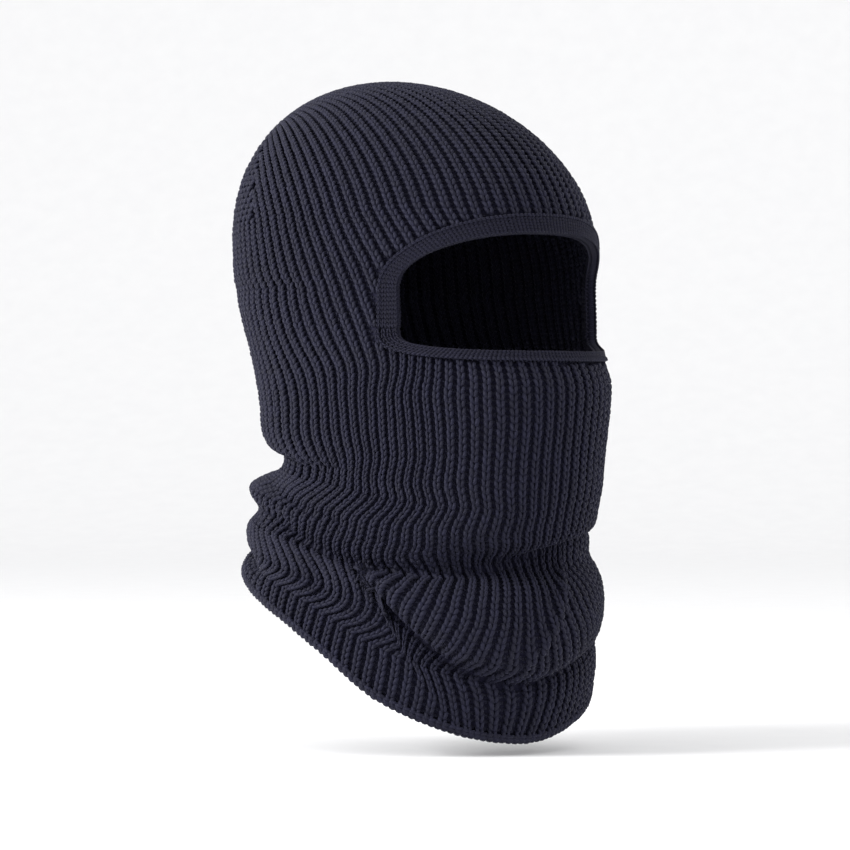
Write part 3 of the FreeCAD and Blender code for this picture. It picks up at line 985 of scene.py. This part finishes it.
tack_shape = (0.05, 0.35, -1.4, 1.4, 1.6, -0.6, 1.9, 1.5)
tack = lay_legs("crown_bar_tack", on_seam(6.8), bars.ravel(), along_bar.ravel(), True,
                np.full(bars.size, 2.0),
                navy_thread, tack_shape)
print("crown seam", round(float(seam_length[-1])), "mm long,", len(loops), "overlock stitches")

# %% [markdown]
# ## Hem
# The knitting starts or ends at the neck hem with a cast-off chain: one link closes each column of
# stitches, so that nothing can ladder. It is a row of plump sideways stitches over the bottom edge.

# %% The cast-off chain


def on_hem(height, inset):
    """Places on the hem: rows run round it, half a rib each, and wales up and down its face."""
    def place(wale, row, turned):
        at = row / 2 - wales / 2
        point, normal = tube_panel.at(at, np.full_like(at, tube_rows) - 0.02)
        above = tube_panel.at(at, np.full_like(at, tube_rows) - 0.5)[0]
        down = point - above
        down /= np.linalg.norm(down, axis=-1, keepdims=True)
        if turned:
            return point + normal * (inset + wale[..., None] * 1.7) + down * height, down
        return point + down * (height + wale[..., None] * 1.4) + normal * inset, normal
    return place


links = np.arange(wales * 2) + 0.5
under_shape = (0.30, 1.30, -0.75, 0.75, 1.1, -0.9, 1.35, 1.15)
face_shape = (0.15, 0.75, -0.7, 0.75, 0.9, -0.7, 1.25, 1.05)
hem_chain = [lay_legs("hem_chain_under", on_hem(0.1, -2.5), np.zeros(len(links)), links, True,
                      np.full(len(links), 5.4), navy_yarn, under_shape),
             lay_legs("hem_chain_face", on_hem(-1.1, -0.9), np.zeros(len(links)), links, False,
                      np.full(len(links), 5.4), navy_yarn, face_shape)]
print("hem", len(links), "links")

# %% [markdown]
# ## Care label
# A small woven label is sewn inside the nape by its top edge. It is blank here. Satin tape shines along its
# weft, so its finish has fine threads both ways and a soft coat. Its colour is lighter on the threads, most
# along the weft: painted shine along the weft and painted shade between the threads.

# %% Label and its stitches
woven, tree, shader = finish("woven_label", Sheen_Weight=0.2, Specular_IOR_Level=0.4)
across_tape = tree.node("SeparateXYZ", Vector=tree.node("UVMap", {"uv_map": "knit"}))
along_tape = across_tape.part(1)
weft, warp = (along_tape * 22.0).sine() * 0.5 + 0.5, (across_tape * 34.0).sine() * 0.5 + 0.5
fray = tree.node("TexNoise", {}, 0, Vector=tree.node("TexCoord", {}, 3), Scale=600.0, Detail=3.0)
# Colour is lighter on the threads, most on the weft, as the bump is: painted shine and painted shade of the
# weave.
((weft * 0.4 + warp * 0.2 + fray * 0.4).between((0.42, 0.42, 0.44), (0.66, 0.66, 0.67))).drive(shader,
                                                            "Base Color")
(0.5 + fray * 0.25).drive(shader, "Roughness")
(tree.node("Bump", {}, 0, Strength=0.5, Distance=0.00012, Height=weft * 0.6 + warp * 0.4)).drive(shader,
                                                            "Normal")
label_width, label_length, label_top = 38.0, 26.0, -136.0
label_w, label_z = np.linspace(-0.5, 0.5, 25) * label_width, label_top - np.linspace(0, 1,
                                                            17) * label_length


def inside_nape(x, height, depth):
    """Places inside the nape, this deep from the outer crests, and their inward normals."""
    wale, row = x / 5.4 + wales / 2, (-height - 62) / 3.3
    for _ in range(8):
        here = tube_panel.at(wale, row)[0]
        wale = wale + np.clip((x - here[..., 0]) / 5.4, -2, 2)
        row = row - np.clip((height - here[..., 2]) / 3.3, -2, 2)
    point, normal = tube_panel.at(wale, row)
    return point - normal * depth, -normal


gx, gz = np.meshgrid(label_w, label_z, indexing="ij")
flare = (0.9 + 1.6 * ((label_top - gz) / label_length) ** 2)
near = inside_nape(gx, gz, 5.9)
outer_face, inner_face = near[0] + near[1] * (flare + 0.25)[...,
                                                            None], near[0] + near[1] * (flare - 0.2)[...,
                                                            None]
number = np.arange(gx.size).reshape(gx.shape)
faces = [(int(number[i, j]), int(number[i, j + 1]), int(number[i + 1, j + 1]), int(number[i + 1, j]))
         for i in range(24) for j in range(16)]
corner = outer_face.reshape(-1, 3)[list(faces[0])]
if np.dot(np.cross(corner[1] - corner[0], corner[2] - corner[0]), near[1][0, 0]) < 0:
    faces = [face[::-1] for face in faces]
label = closed_sheet("care_label_tape", outer_face.reshape(-1, 3), inner_face.reshape(-1, 3), faces, woven,
                     np.stack([gx, gz], -1).reshape(-1, 2))


def on_label(wale, row, turned):
    point, normal = inside_nape(row, np.full_like(row, label_top - 2.4) + wale, 5.9)
    return point + normal * 1.25, normal


stitch_at = np.arange(-16.5, 16.6, 1.5)
label_stitches = lay_legs("label_stitches", on_label, np.zeros(len(stitch_at)), stitch_at, False,
                          np.full(len(stitch_at), 2.0), navy_thread,
                          (0.02, 0.12, -0.6, 0.6, 1.2, -0.6, 1.1, 0.9))
print("label", label_width, "by", label_length, "mm")

# %% [markdown]
# ## Floor, light and what each piece stands for
# The floor is a pale, wide sheet of studio paper that sweeps up behind, so no horizon cuts the view. Each
# visible piece takes the place of its plain CAD solid. The knit, the bands and the label are thin sheets.
# Their flat sizes are estimates, and those of the knit and the bands do not agree with the shapes above: the
# brow band measures 224 mm along its middle and the mouth edge 184 mm, and the worn knit has an area of 0.156
# square metres.

# %% Floor and world
paper, tree, shader = finish("studio_paper", Specular_IOR_Level=0.2)
grain = tree.node("TexNoise", {}, 0, Vector=tree.node("TexCoord", {}, 3), Scale=40.0, Detail=6.0)
(grain.between((0.83, 0.83, 0.84), (0.88, 0.88, 0.885))).drive(shader, "Base Color")
(0.8 + grain * 0.15).drive(shader, "Roughness")
floor_mesh = bpy.data.meshes.new("floor")
bend = np.linspace(0, math.pi / 2, 25)
reach = np.concatenate([[-5.0], 3.0 + 1.6 * np.sin(bend), [4.6]])
rise = np.concatenate([[0.0], 1.6 - 1.6 * np.cos(bend), [5.0]])
corners = [tuple(-to_camera * far + to_right * side + Vector((0, 0, up - 0.3285)))
           for far, up in zip(reach, rise) for side in (-7, 7)]
floor_mesh.from_pydata(corners, [],
                       [(2 * k, 2 * k + 1, 2 * k + 3, 2 * k + 2) for k in range(len(reach) - 1)])
floor_mesh.polygons.foreach_set("use_smooth", np.full(len(reach) - 1, True))
floor_mesh.materials.append(paper)
floor = bpy.data.objects.new("floor", floor_mesh)
scene.collection.objects.link(floor)
world = bpy.data.worlds.new("studio")
scene.world = world
world.use_nodes = True
world.node_tree.nodes["Background"].inputs["Color"].default_value = (1, 1, 1, 1)
world.node_tree.nodes["Background"].inputs["Strength"].default_value = 1.05


def soft_light(name, place, size, power):
    light = bpy.data.objects.new(name, bpy.data.lights.new(name, "AREA"))
    light.data.size, light.data.energy = size, power
    light.location = place
    light.rotation_euler = (Vector((0, 0, -0.16)) - Vector(place)).to_track_quat("-Z", "Y").to_euler()
    scene.collection.objects.link(light)


soft_light("key", aim - to_right * 1.5 + to_camera * 0.55 + Vector((0, 0, 0.75)), 0.8, 42)
soft_light("fill", aim + to_right * 1.4 + to_camera * 1.2 + Vector((0, 0, 0.4)), 1.2, 9)

# %% What each piece stands for
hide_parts("hood_shell")
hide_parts("brow_band")
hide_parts("mouth_edge_band")
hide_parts("band_linking_thread")
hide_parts("mouth_edge_thread")
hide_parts("crown_seam_thread")
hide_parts("crown_tack")
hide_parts("hem_cast_off")
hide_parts("care_label")
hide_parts("label_thread")

def half_area(piece):
    """Half of a closed piece's surface, in square metres: the area of one face of a thin sheet."""
    return sum(face.area for face in piece.data.polygons) / 2


print("half areas",
      [(piece.name, round(half_area(piece), 4)) for piece in (hood, brow_core, mouth_core, label)])
